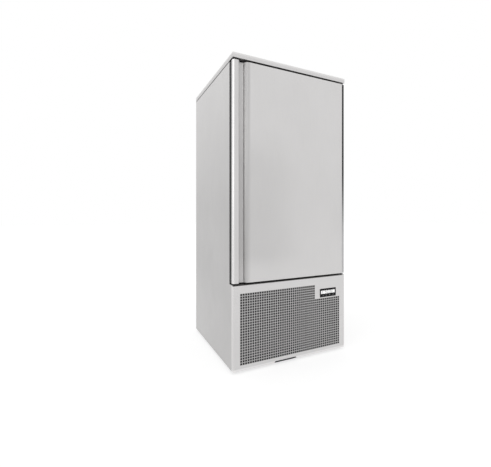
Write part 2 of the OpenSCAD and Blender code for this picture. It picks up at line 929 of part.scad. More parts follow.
// Inner sheet with a raised, round-cornered panel that faces the cold room
module door_inner_skin() {
    x = [left + gasket_in + gasket_w + 1.5, right - 9 - gasket_in - gasket_w - 1.5];
    z = [door_z + gasket_in + gasket_w + 1, door_top - gasket_in - gasket_w - 1];
    mid = [(x[0] + x[1]) / 2, (z[0] + z[1]) / 2];
    size = [x[1] - x[0], z[1] - z[0]];
    color(steel) translate([mid[0], 0, mid[1]]) {
        standing(front + profile_d, sheet) rounded(size[0], size[1], 8);
        standing(front + profile_d + 0.5, 5.5) rounded(size[0] - 60, size[1] - 60, 25);
        standing(front + profile_d + 0.5, 3.5) rounded(size[0] - 54, size[1] - 54, 28);
    }
}

// Magnetic gasket: wide foot in the door, narrow bulb against the cabinet
module door_gasket() {
    x = [left + gasket_in, right - 14];
    z = [door_z + gasket_in, door_top - gasket_in];
    step_in = 3;
    depth = door_t - profile_d - seam;
    color(dark) {
        difference() {
            block(x, [front + profile_d, front + profile_d + 3], z);
            block([x[0] + gasket_w, x[1] - gasket_w], [front, cab_y],
                  [z[0] + gasket_w, z[1] - gasket_w]);
        }
        difference() {
            block([x[0] + step_in, x[1] - step_in],
                  [front + profile_d + 2.5, front + profile_d + depth],
                  [z[0] + step_in, z[1] - step_in]);
            block([x[0] + gasket_w - step_in, x[1] - gasket_w + step_in], [front, cab_y],
                  [z[0] + gasket_w - step_in, z[1] - gasket_w + step_in]);
        }
    }
}

module door_bushes() {
    color([0.85, 0.85, 0.82]) for (z = [door_z + 0.5, door_top - 0.5 - bush_h])
        translate([hinge[0], hinge[1], z]) difference() {
            cylinder(r = bush_r, h = bush_h);
            translate([0, 0, -1]) cylinder(r = pin_r + run_gap, h = bush_h + 2);
        }
}

// ---------------------------------------------------------------- assembly

left_side_panel();
right_side_panel();
rear_panel();
rear_service_panel();
top_cover();
cabinet_underside();
cabinet_roof();
insulation();
cavity_liner();
frame_profile();
base_pan();
base_front_panel();
controller_bezel();
controller_case();
display_board();
display_window();
key_cap(0);  // key_power
key_cap(1);  // key_set
key_cap(2);  // key_down
key_cap(3);  // key_up
rack_uprights();
tray_runners();
rack_pins();
evaporator_cover();
fan_guards();
evaporator_fan_motors();
evaporator_fan_brackets();
evaporator_rotor(0);  // evaporator_rotor_1
evaporator_rotor(1);  // evaporator_rotor_2
evaporator_rotor(2);  // evaporator_rotor_3
evaporator_coil();
cover_standoffs();
probe_gland();
drain_pipe();
tray_rails();
condensate_tray();
condenser_coil();
condenser_shroud();
condenser_fan_motors();
condenser_fan_brackets();
condenser_rotor(0);  // condenser_rotor_1
condenser_rotor(1);  // condenser_rotor_2
compressor();
compressor_grommets();
receiver();
refrigerant_pipes();
electrical_box();
cable_gland();
hinge_brackets();
hinge_pins();
door_skin();
door_edge_profile();
door_insulation();
door_inner_skin();
door_gasket();
door_bushes();
foot(-1, -1);  // foot_front_left
foot(1, -1);  // foot_front_right
foot(-1, 1);  // foot_rear_left
foot(1, 1);  // foot_rear_right
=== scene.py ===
"""Looks of the upright blast chiller: camera, studio, finishes and the fine pieces.

Lengths are in metres in the part's own frame: +X to the right of the door, +Y to the back,
+Z up, with the floor at z = 0.
"""

import math

import bmesh
import bpy
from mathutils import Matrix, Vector


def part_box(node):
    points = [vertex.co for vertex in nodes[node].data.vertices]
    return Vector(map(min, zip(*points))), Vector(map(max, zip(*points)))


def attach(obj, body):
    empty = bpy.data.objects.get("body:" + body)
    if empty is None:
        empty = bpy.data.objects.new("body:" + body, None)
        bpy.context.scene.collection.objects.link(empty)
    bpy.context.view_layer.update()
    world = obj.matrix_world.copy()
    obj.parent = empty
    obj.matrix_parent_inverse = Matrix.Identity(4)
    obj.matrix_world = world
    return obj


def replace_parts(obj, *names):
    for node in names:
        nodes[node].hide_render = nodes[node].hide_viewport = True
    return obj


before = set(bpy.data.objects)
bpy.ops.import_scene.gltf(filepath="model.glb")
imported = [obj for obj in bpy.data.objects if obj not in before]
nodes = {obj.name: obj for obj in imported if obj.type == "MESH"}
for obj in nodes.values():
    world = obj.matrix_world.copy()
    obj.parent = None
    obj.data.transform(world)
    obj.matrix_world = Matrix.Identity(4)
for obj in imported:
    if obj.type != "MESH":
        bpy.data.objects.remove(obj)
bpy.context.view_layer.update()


def centre(name):
    """Middle of a node's box at rest."""
    low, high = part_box(name)
    return (low + high) / 2


# Places that the finishes and the fine pieces follow
SHELL_X, SHELL_BACK, SHELL_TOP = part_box("right_side_panel")[1]
LID_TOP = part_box("top_cover")[1].z
(_, PANEL_FRONT, PANEL_FOOT), (PANEL_X, _, PANEL_TOP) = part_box("base_front_panel")
DOOR_EDGE, DOOR_FRONT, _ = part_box("door_skin")[0]
STRIP_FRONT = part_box("door_edge_profile")[0].y

# ---------------------------------------------------------------- camera

IMAGE_W = 491
IMAGE_H = 467
FOCAL_PX = 322.5
PRINCIPAL_PX = (270.0, 215.5)
CAMERA_AT = (-1.033, -2.084, 0.8895)
CAMERA_YAW = math.radians(27.3)
SENSOR_MM = 36.0


def make_camera():
    """A level camera at the front left; the shift places its principal point."""
    data = bpy.data.cameras.new("camera")
    data.sensor_width = SENSOR_MM
    data.lens = FOCAL_PX / IMAGE_W * SENSOR_MM
    data.shift_x = (IMAGE_W / 2 - PRINCIPAL_PX[0]) / IMAGE_W
    data.shift_y = (PRINCIPAL_PX[1] - IMAGE_H / 2) / IMAGE_W
    data.clip_start = 0.05
    camera = bpy.data.objects.new("camera", data)
    bpy.context.scene.collection.objects.link(camera)
    camera.location = CAMERA_AT
    camera.rotation_euler = (math.pi / 2, 0, -CAMERA_YAW)
    bpy.context.scene.camera = camera


make_camera()

# ---------------------------------------------------------------- node graphs


class Graph:
    """A short way to write a material's node tree."""

    def __init__(self, tree):
        self.tree = tree
        self.links = tree.links

    def add(self, kind, **values):
        node = self.tree.nodes.new(kind)
        for key, value in values.items():
            setattr(node, key, value)
        return node

    def join(self, source, target):
        self.links.new(source, target)

    def coords(self, scale):
        """Object coordinates stretched by a scale on each axis."""
        texture = self.add("ShaderNodeTexCoord")
        mapping = self.add("ShaderNodeMapping")
        mapping.inputs["Scale"].default_value = scale
        self.join(texture.outputs["Object"], mapping.inputs["Vector"])
        return mapping.outputs["Vector"]

    def noise(self, scale, detail=2.0, rough=0.5):
        """Soft noise; the scale on each axis sets how fine it is."""
        node = self.add("ShaderNodeTexNoise")
        node.inputs["Scale"].default_value = 1.0
        node.inputs["Detail"].default_value = detail
        node.inputs["Roughness"].default_value = rough
        self.join(self.coords(scale), node.inputs["Vector"])
        return node.outputs["Fac"]

    def spread(self, value, low, high, start=0.3, end=0.7):
        """Maps start..end of a value to low..high."""
        node = self.add("ShaderNodeMapRange")
        node.inputs["From Min"].default_value = start
        node.inputs["From Max"].default_value = end
        node.inputs["To Min"].default_value = low
        node.inputs["To Max"].default_value = high
        self.join(value, node.inputs["Value"])
        return node.outputs["Result"]

    def math(self, kind, a, b=0.0):
        node = self.add("ShaderNodeMath", operation=kind)
        for socket, value in zip(node.inputs, (a, b)):
            if isinstance(value, (int, float)):
                socket.default_value = value
            else:
                self.join(value, socket)
        return node.outputs[0]

    def times(self, first, *others):
        """The product of several sockets or numbers."""
        result = first
        for other in others:
            result = self.math("MULTIPLY", result, other)
        return result

    def mix(self, factor, a, b):
        """Blends two colours, each a tuple or a socket."""
        node = self.add("ShaderNodeMix", data_type="RGBA")
        self.join(factor, node.inputs["Factor"])
        for name, value in (("A", a), ("B", b)):
            socket = next(s for s in node.inputs if s.name == name and s.type == "RGBA")
            if isinstance(value, tuple):
                socket.default_value = (*value, 1.0)
            else:
                self.join(value, socket)
        return next(s for s in node.outputs if s.type == "RGBA")

    def dim(self, color, factor):
        """A colour times a number, which may be above one."""
        node = self.add("ShaderNodeVectorMath", operation="SCALE")
        self.join(color, node.inputs[0])
        self.join(factor, node.inputs["Scale"])
        return node.outputs["Vector"]

    def bump(self, height, strength, distance):
        node = self.add("ShaderNodeBump")
        node.inputs["Strength"].default_value = strength
        node.inputs["Distance"].default_value = distance
        self.join(height, node.inputs["Height"])
        return node.outputs["Normal"]

    def edge_mask(self, radius):
        """One along sharp edges, zero on the flats."""
        bevel = self.add("ShaderNodeBevel", samples=4)
        bevel.inputs["Radius"].default_value = radius
        geometry = self.add("ShaderNodeNewGeometry")
        dot = self.add("ShaderNodeVectorMath", operation="DOT_PRODUCT")
        self.join(bevel.outputs["Normal"], dot.inputs[0])
        self.join(geometry.outputs["Normal"], dot.inputs[1])
        return self.spread(dot.outputs["Value"], 1.0, 0.0, 0.75, 0.995)

    def place(self):
        """The three object coordinates, each a socket in metres."""
        texture = self.add("ShaderNodeTexCoord")
        split = self.add("ShaderNodeSeparateXYZ")
        self.join(texture.outputs["Object"], split.inputs["Vector"])
        return split.outputs

    def smooth(self, value, start, end):
        """Eases from 0 at start to 1 at end; start may be the higher one."""
        node = self.add("ShaderNodeMapRange", interpolation_type="SMOOTHSTEP")
        node.inputs["From Min"].default_value = start
        node.inputs["From Max"].default_value = end
        self.join(value, node.inputs["Value"])
        return node.outputs["Result"]

    def ramp(self, value, stops, between="B_SPLINE"):
        """A grey ramp through (position, tone) pairs."""
        node = self.add("ShaderNodeValToRGB")
        node.color_ramp.interpolation = between
        elements = node.color_ramp.elements
        while len(elements) < len(stops):
            elements.new(0.5)
        for element, (position, tone) in zip(elements, stops):
            element.position = position
            element.color = (tone, tone, tone, 1.0)
        self.join(value, node.inputs["Fac"])
        return node.outputs["Color"]

    def seen(self):
        """One for rays that show a thing: from the lens, off metal or through glass."""
        path = self.add("ShaderNodeLightPath")
        shown = self.math("MAXIMUM", path.outputs["Is Camera Ray"],
                          path.outputs["Is Glossy Ray"])
        return self.math("MAXIMUM", shown, path.outputs["Is Transmission Ray"])

    def cavity(self, distance):
        """One in the open, falling towards zero in gaps and channels."""
        occlusion = self.add("ShaderNodeAmbientOcclusion", samples=6)
        occlusion.inputs["Distance"].default_value = distance
        return occlusion.outputs["AO"]


def scaled(color, factor):
    return tuple(min(1.0, c * factor) for c in color)


def new_material(name):
    material = bpy.data.materials.new(name)
    material.use_nodes = True
    graph = Graph(material.node_tree)
    shader = material.node_tree.nodes["Principled BSDF"]
    return material, graph, shader


GRAIN = {"x": (7, 800, 800), "y": (800, 7, 800), "z": (800, 800, 7)}


def brushed(name, color, along="z", rough=0.36, grain=0.05, metallic=0.9, wear_and_highlight=0.35,
            tone=0.03, dim=0.8, reach=0.04, painted_light=None, punched=False):
    """Satin brushed sheet: fine lines one way, slow random tone, edges polished plus painted
    highlight.
    """
    material, g, shader = new_material(name)
    lines = g.noise(GRAIN[along], detail=3.0, rough=0.6)
    slow = g.noise((2.3, 2.3, 1.7), detail=3.0)
    smear = g.noise((9, 9, 5), detail=4.0, rough=0.65)
    edges = g.edge_mask(0.0012)
    flat = g.mix(g.spread(slow, 0.0, 1.0), scaled(color, 1 - tone), scaled(color, 1 + tone))
    lined = g.mix(g.spread(lines, 0.0, 0.5), flat, scaled(color, 0.93))
    # Sharp edges lighter: partly polished wear, partly a painted highlight.
    worn_and_highlit = g.mix(g.times(edges, wear_and_highlight), lined, scaled(color, 1.22))
    # Painted shade: the colour darkens in gaps and channels by ambient occlusion.
    shade = g.spread(g.cavity(reach), dim, 1.0, 0.2, 0.98)
    # Painted light and shade by place on the part, where a function for it is given.
    if painted_light is not None:
        shade = g.times(shade, painted_light(g))
    height = lines
    if punched:
        # Painted shade: the webs darken towards each hole's rolled edge; the same mask bumps it.
        rolled = punched_edges(g)
        shade = g.times(shade, g.spread(rolled, HOLE_EDGE_SHADE, 1.0, 0.0, 1.0))
        height = g.math("ADD", lines, g.times(rolled, 1.5))
    g.join(g.dim(worn_and_highlit, shade), shader.inputs["Base Color"])
    roughness = g.math("ADD", g.spread(lines, rough - 0.03, rough + 0.05),
                       g.spread(smear, -0.025, 0.035))
    g.join(roughness, shader.inputs["Roughness"])
    g.join(g.bump(height, grain, 0.0004), shader.inputs["Normal"])
    shader.inputs["Metallic"].default_value = metallic
    return material


# Grille of the base: columns and rows of square holes, less a plain block round the controller
HOLE_PITCH = 0.015
HOLE_HALF = 0.005
HOLE_COLUMNS = 47
HOLE_ROWS = 27
BLANK_COLUMNS = 13
BLANK_ROWS = 6
GRILLE_RISE = 0.032
# Painted shade at the holes' rolled edges, as a share of the web's colour
HOLE_EDGE_SHADE = 0.42
HOLE_EDGE_ROLL = 0.0012


def hole_span(count):
    """Length of a line of holes, from the first one's edge to the last one's."""
    return (count - 1) * HOLE_PITCH + 2 * HOLE_HALF


GRILLE_X = (-hole_span(HOLE_COLUMNS) / 2, hole_span(HOLE_COLUMNS) / 2)
GRILLE_Z = (PANEL_FOOT + GRILLE_RISE, PANEL_FOOT + GRILLE_RISE + hole_span(HOLE_ROWS))
BLANK_X = GRILLE_X[1] - hole_span(BLANK_COLUMNS)
BLANK_Z = GRILLE_Z[1] - hole_span(BLANK_ROWS)


def punched_edges(g):
    """Zero at the rolled edge of a hole in the grille, one away; masks painted shade and bump."""
    x, _, z = g.place()
    middle = HOLE_PITCH / 2
    across = g.math("PINGPONG", g.math("SUBTRACT", x, GRILLE_X[0] + HOLE_HALF), middle)
    up = g.math("PINGPONG", g.math("SUBTRACT", z, GRILLE_Z[0] + HOLE_HALF), middle)
    web = g.smooth(g.math("MAXIMUM", across, up), HOLE_HALF, middle + HOLE_EDGE_ROLL)
    rim = middle - HOLE_HALF
    inside = g.times(g.math("GREATER_THAN", x, GRILLE_X[0] - rim),
                     g.math("LESS_THAN", x, GRILLE_X[1] + rim),
                     g.math("GREATER_THAN", z, GRILLE_Z[0] - rim),
                     g.math("LESS_THAN", z, GRILLE_Z[1] + rim))
    plain = g.times(g.math("GREATER_THAN", x, BLANK_X - rim),
                    g.math("GREATER_THAN", z, BLANK_Z - rim))
    plain = g.math("MAXIMUM", plain, g.math("SUBTRACT", 1.0, inside))
    return g.math("MAXIMUM", web, plain)


# Painted light up the side, by share of the height: darker low down, lighter towards the top
SIDE_LIGHT_BY_HEIGHT = ((0.0, 0.745), (0.13, 0.75), (0.24, 0.7), (0.38, 0.7), (0.5, 0.775),
              (0.62, 0.85), (0.78, 0.94), (0.92, 1.0))
SIDE_OUTER = (SHELL_X - 0.0006, SHELL_BACK - 0.01)
INNER_SHADE = 0.15
SEAM_SHADE = 0.3


def side_painted_light(g):
    """Lighter the higher, as painted light; painted shade in the seam under the lid and on the
    inner face.
    """
    x, y, z = g.place()
    inner = g.times(g.math("LESS_THAN", g.math("ABSOLUTE", x), SIDE_OUTER[0]),
                    g.math("LESS_THAN", g.math("ABSOLUTE", y), SIDE_OUTER[1]))
    seam = g.smooth(z, SHELL_TOP - 0.007, SHELL_TOP - 0.002)
    return g.times(g.ramp(g.math("DIVIDE", z, LID_TOP), SIDE_LIGHT_BY_HEIGHT),
                   g.spread(seam, 1.0, SEAM_SHADE, 0.0, 1.0),
                   g.spread(inner, 1.0, INNER_SHADE, 0.0, 1.0))


FOLD_SHADE = 0.08
FOLD_LIGHT = 1.3


def front_painted_light(g):
    """Painted shade on the front panel's upper fold, under the door; painted light on the lower
    one.
    """
    x, y, z = g.place()
    upper = g.times(g.smooth(z, PANEL_TOP - 0.0055, PANEL_TOP - 0.0025),
                    g.smooth(y, PANEL_FRONT + 0.008, PANEL_FRONT + 0.002),
                    g.smooth(x, PANEL_X - 0.01, PANEL_X - 0.025))
    lower = g.smooth(z, PANEL_FOOT + 0.016, PANEL_FOOT + 0.006)
    return g.times(g.spread(upper, 1.0, FOLD_SHADE, 0.0, 1.0),
                   g.spread(lower, 1.0, FOLD_LIGHT, 0.0, 1.0))


LID_EDGE_LIGHT = 1.17


def lid_painted_highlight(g):
    """A painted highlight along the lid's rolled top edge."""
    _, _, z = g.place()
    edge = g.smooth(z, LID_TOP - 0.016, LID_TOP - 0.002)
    return g.spread(edge, 1.0, LID_EDGE_LIGHT, 0.0, 1.0)


# Painted light and shade across the door's fold, by distance from the free edge: grip,
# channel, then the curve out to the face
FOLD_WIDTH = 0.12
FOLD_TOP = 1.6
FOLD_LIGHT_AND_SHADE = ((0.0005, 1.08), (0.008, 1.08), (0.013, 0.99), (0.034, 0.99), (0.038, 1.15),
              (0.0405, 1.3), (0.0435, 0.95), (0.045, 0.82), (0.064, 0.82), (0.0667, 1.2),
              (0.07, 1.5), (0.0725, 1.0), (0.075, 0.6), (0.08, 0.68), (0.088, 0.79),
              (0.097, 0.9), (0.109, 1.0))

# Where each band of painted light and shade on the door starts and is complete
PATCH_ACROSS = (0.515, 0.155)
PATCH_UPPER = (1.45, 1.12)
PATCH_LOWER = (0.56, 0.68)
PAST_GRIP = (0.037, 0.045)
ON_GRIP = (0.04, 0.035)
CURVE_INNER = (0.071, 0.076)
CURVE_OUTER = (0.109, 0.095)
SHADE_UPWARDS = (1.15, 1.65)
BACK_DEPTH = (0.0205, 0.0225)
BACK_ACROSS = (0.006, 0.003)
PATCH_SHADE = 0.9
CURVE_SHADE = 0.15
GRIP_SHADE = 0.05
BACK_SHADE = 0.2


def door_painted_light(g):
    """Painted light and shade: a darker patch low on the face's left, the fold's bands, a shaded
    back edge.
    """
    x, y, z = g.place()
    across = g.math("SUBTRACT", x, DOOR_EDGE)
    depth = g.math("SUBTRACT", y, DOOR_FRONT)
    patch = g.times(g.smooth(across, *PATCH_ACROSS), g.smooth(z, *PATCH_UPPER),
                    g.smooth(z, *PATCH_LOWER), g.smooth(across, *PAST_GRIP))
    stops = [(at / FOLD_WIDTH, tone / FOLD_TOP) for at, tone in FOLD_LIGHT_AND_SHADE]
    fold = g.ramp(g.spread(across, 0.0, 1.0, 0.0, FOLD_WIDTH), stops, "LINEAR")
    # Painted shade: the curve and the grip darken higher up the door.
    curve = g.times(g.smooth(across, *CURVE_INNER), g.smooth(across, *CURVE_OUTER),
                    CURVE_SHADE)
    grip = g.times(g.smooth(across, *ON_GRIP), GRIP_SHADE)
    upper_shade = g.times(g.math("ADD", curve, grip), g.smooth(z, *SHADE_UPWARDS))
    back = g.times(g.smooth(depth, *BACK_DEPTH), g.smooth(across, *BACK_ACROSS))
    return g.times(g.spread(patch, 1.0, PATCH_SHADE, 0.0, 1.0),
                   g.spread(fold, 0.0, FOLD_TOP, 0.0, 1.0),
                   g.math("SUBTRACT", 1.0, upper_shade),
                   g.spread(back, 1.0, BACK_SHADE, 0.0, 1.0))


def zinc(name, color, rough=0.42):
    """Galvanised sheet: large faint crystals over a dull metal."""
    material, g, shader = new_material(name)
    cells = g.add("ShaderNodeTexVoronoi", feature="F1")
    cells.inputs["Scale"].default_value = 60.0
    g.join(g.coords((1, 1, 1)), cells.inputs["Vector"])
    grey = g.add("ShaderNodeRGBToBW")
    g.join(cells.outputs["Color"], grey.inputs["Color"])
    crystal = g.spread(grey.outputs["Val"], 0.0, 1.0, 0.0, 1.0)
    cloud = g.noise((14, 14, 14), detail=4.0, rough=0.6)
    tone = g.mix(crystal, scaled(color, 0.86), scaled(color, 1.1))
    g.join(g.mix(g.spread(cloud, 0.0, 0.4), tone, scaled(color, 0.8)),
           shader.inputs["Base Color"])
    g.join(g.spread(grey.outputs["Val"], rough - 0.08, rough + 0.1, 0.0, 1.0),
           shader.inputs["Roughness"])
    g.join(g.bump(cloud, 0.06, 0.0006), shader.inputs["Normal"])
    shader.inputs["Metallic"].default_value = 0.85
    return material


STRIP_LIT = (1.2, 0.66)


def strip_painted_reflection(g):
    """A painted reflection of the room's light on the hinge strip's front, stronger towards its
    foot.
    """
    _, y, z = g.place()
    return g.times(g.smooth(z, *STRIP_LIT), g.smooth(y, STRIP_FRONT + 0.007, STRIP_FRONT + 0.002))


def moulded(name, color, rough=0.5, pebble=0.12, size=1500.0, dust=0.25, gloss=0.5,
            lit=None, glow=(0.6, 0.6, 0.6)):
    """Moulded plastic or rubber: a fine pebble grain, a little dust, and any painted reflection
    given.
    """
    material, g, shader = new_material(name)
    grain = g.noise((size, size, size), detail=2.0)
    cloud = g.noise((22, 22, 22), detail=4.0, rough=0.6)
    edges = g.edge_mask(0.0008)
    pale = scaled(tuple(c + 0.03 for c in color), 1.6)
    base = g.mix(g.times(g.spread(cloud, 0.0, 1.0), dust), color, pale)
    base = g.mix(g.times(edges, 0.5), base, pale)
    # Painted reflection: where given, the base blends towards the glow grey.
    if lit is not None:
        base = g.mix(lit(g), base, glow)
    g.join(base, shader.inputs["Base Color"])
    g.join(g.math("ADD", g.spread(grain, rough - 0.05, rough + 0.05),
                  g.spread(cloud, -0.05, 0.08)), shader.inputs["Roughness"])
    g.join(g.bump(grain, pebble, 0.0002), shader.inputs["Normal"])
    shader.inputs["Specular IOR Level"].default_value = gloss
    return material


def enamel(name, color, rough=0.35):
    """Sprayed enamel with orange peel and a few dull patches."""
    material, g, shader = new_material(name)
    peel = g.noise((260, 260, 260), detail=1.0)
    cloud = g.noise((11, 11, 11), detail=5.0, rough=0.65)
    edges = g.edge_mask(0.0015)
    base = g.mix(g.spread(cloud, 0.0, 1.0), scaled(color, 0.85), scaled(color, 1.35))
    g.join(g.mix(g.times(edges, 0.35), base, (0.3, 0.29, 0.28)),
           shader.inputs["Base Color"])
    g.join(g.spread(cloud, rough - 0.08, rough + 0.15), shader.inputs["Roughness"])
    g.join(g.bump(peel, 0.12, 0.0005), shader.inputs["Normal"])
    return material


def copper_tube(name):
    """Drawn copper with darker heat stains."""
    material, g, shader = new_material(name)
    stain = g.noise((30, 30, 30), detail=5.0, rough=0.7)
    lines = g.noise((500, 500, 500), detail=1.0)
    g.join(g.mix(g.spread(stain, 0.0, 1.0, 0.45, 0.75), (0.72, 0.4, 0.26),
                 (0.3, 0.16, 0.11)), shader.inputs["Base Color"])
    g.join(g.spread(stain, 0.24, 0.5), shader.inputs["Roughness"])
    g.join(g.bump(lines, 0.05, 0.0002), shader.inputs["Normal"])
    shader.inputs["Metallic"].default_value = 1.0
    return material


def foam(name, color):
    """Rigid foam with a fine open cell."""
    material, g, shader = new_material(name)
    cell = g.noise((420, 420, 420), detail=3.0)
    g.join(g.mix(cell, scaled(color, 0.85), scaled(color, 1.1)), shader.inputs["Base Color"])
    g.join(g.spread(cell, 0.8, 0.95), shader.inputs["Roughness"])
    g.join(g.bump(cell, 0.4, 0.0008), shader.inputs["Normal"])
    return material


def window(name):
    """Clear display window with faint wiping marks."""
    material, g, shader = new_material(name)
    wipe = g.noise((60, 60, 240), detail=3.0)
    g.join(g.mix(wipe, (0.97, 0.97, 0.97), (0.99, 0.99, 0.99)), shader.inputs["Base Color"])
    g.join(g.spread(wipe, 0.04, 0.12), shader.inputs["Roughness"])
    shader.inputs["Transmission Weight"].default_value = 1.0
    shader.inputs["IOR"].default_value = 1.3
    return material


LIT_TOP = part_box("display_board")[1].z - 0.002
BACKLIGHT = 0.4


def display_face(name, color):
    """Pale display with a soft uneven backlight, black above its lit field."""
    material, g, shader = new_material(name)
    cloud = g.noise((70, 70, 90), detail=2.0)
    _, _, z = g.place()
    face = g.mix(g.spread(cloud, 0.0, 1.0), scaled(color, 0.93), color)
    face = g.mix(g.smooth(z, LIT_TOP - 0.0005, LIT_TOP), face, (0.01, 0.01, 0.01))
    g.join(face, shader.inputs["Base Color"])
    g.join(face, shader.inputs["Emission Color"])
    g.join(g.spread(cloud, 0.45, 0.6), shader.inputs["Roughness"])
    shader.inputs["Emission Strength"].default_value = BACKLIGHT
    return material


# One stainless steel: the side, door, front and lid copies differ in brightness as painted light.
STEEL = (0.57, 0.562, 0.56)
SIDE_STEEL_PAINTED_LIGHTER = (0.6, 0.591, 0.589)

MATERIALS = {
    "side": brushed("stainless_side", SIDE_STEEL_PAINTED_LIGHTER, "z", painted_light=side_painted_light),
    "door": brushed("stainless_door", scaled(STEEL, 1.03), "z", painted_light=door_painted_light),
    "front": brushed("stainless_front", scaled(STEEL, 1.05), "x", painted_light=front_painted_light,
                     punched=True),
    "lid": brushed("stainless_lid", scaled(STEEL, 1.01), "x", painted_light=lid_painted_highlight),
    "inside": brushed("stainless_inside", (0.6, 0.6, 0.6), "z", rough=0.3),
    "inside_flat": brushed("stainless_inside_flat", (0.6, 0.6, 0.6), "y", rough=0.3),
    "zinc": zinc("galvanised", (0.5, 0.51, 0.53)),
    # Painted shade: the galvanised sheet inside the base is near black, for the dark behind the
    # grille.
    "pan": zinc("zinc_in_painted_shade", (0.05, 0.051, 0.054), rough=0.6),
    "plated": brushed("plated_steel", (0.52, 0.52, 0.53), "x", rough=0.3, metallic=1.0),
    "hinge": brushed("hinge_steel", (0.2, 0.2, 0.205), "x", rough=0.4, metallic=1.0),
    "black": moulded("black_plastic", (0.012, 0.012, 0.013), dust=0.12, gloss=0.25),
    "strip": moulded("door_edge_plastic", (0.012, 0.012, 0.013), dust=0.12, gloss=0.25,
                     lit=strip_painted_reflection),
    "bezel": moulded("bezel_plastic", (0.005, 0.005, 0.0055), rough=0.5, pebble=0.06,
                     dust=0.05, gloss=0.1),
    "keys": moulded("key_plastic", (0.03, 0.031, 0.033), rough=0.42, gloss=0.3),
    "rubber": moulded("gasket_rubber", (0.014, 0.014, 0.015), rough=0.62, pebble=0.2,
                      dust=0.12, gloss=0.25),
    "white": moulded("pale_plastic", (0.74, 0.75, 0.73), rough=0.4, dust=0.05),
    "fan": moulded("fan_plastic", (0.07, 0.07, 0.075), rough=0.45),
    "enamel": enamel("black_enamel", (0.03, 0.03, 0.033)),
    "motor": enamel("motor_enamel", (0.05, 0.052, 0.058), rough=0.45),
    "coil": brushed("fin_aluminium", (0.7, 0.71, 0.72), "z", rough=0.34, metallic=1.0),
    "copper": copper_tube("copper"),
    "foam": foam("foam", (0.8, 0.7, 0.42)),
    "window": window("display_window"),
    "display": display_face("display_face", (0.9, 0.9, 0.9)),
    "figures": moulded("display_figures", (0.04, 0.04, 0.042), rough=0.5, dust=0.05),
    "sign": moulded("key_signs", (0.45, 0.46, 0.46), rough=0.5, dust=0.1),
}

FINISH = {
    "side": ["left_side_panel", "right_side_panel"],
    "door": ["door_skin"],
    "front": ["base_front_panel"],
    "lid": ["top_cover"],
    "inside": ["cavity_liner", "door_inner_skin", "evaporator_cover", "rack_uprights"],
    "inside_flat": ["tray_runners"],
    "zinc": ["rear_panel", "rear_service_panel", "cabinet_roof", "evaporator_fan_brackets",
             "cover_standoffs"],
    "pan": ["cabinet_underside", "base_pan", "tray_rails", "condenser_shroud",
            "condenser_fan_brackets", "electrical_box"],
    "plated": ["fan_guards", "rack_pins"],
    "hinge": ["hinge_brackets", "hinge_pins"],
    "black": ["frame_profile", "controller_case", "cable_gland", "probe_gland",
              "condensate_tray", "foot_front_left", "foot_front_right", "foot_rear_left",
              "foot_rear_right"],
    "strip": ["door_edge_profile"],
    "bezel": ["controller_bezel"],
    "keys": ["key_power", "key_set", "key_down", "key_up"],
    "rubber": ["door_gasket", "compressor_grommets"],
    "white": ["drain_pipe", "door_bushes"],
    "fan": ["evaporator_rotor_1", "evaporator_rotor_2", "evaporator_rotor_3",
            "condenser_rotor_1", "condenser_rotor_2"],
    "enamel": ["condenser_coil", "compressor", "receiver"],
    "motor": ["evaporator_fan_motors", "condenser_fan_motors"],
    "coil": ["evaporator_coil"],
    "copper": ["refrigerant_pipes"],
    "foam": ["insulation", "door_insulation"],
    "window": ["display_window"],
    "display": ["display_board"],
}


def finish_nodes():
    for key, names in FINISH.items():
        for name in names:
            slots = nodes[name].data.materials
            slots.clear()
            slots.append(MATERIALS[key])


finish_nodes()

# ---------------------------------------------------------------- fine pieces

X, Y, Z = Vector((1, 0, 0)), Vector((0, 1, 0)), Vector((0, 0, 1))


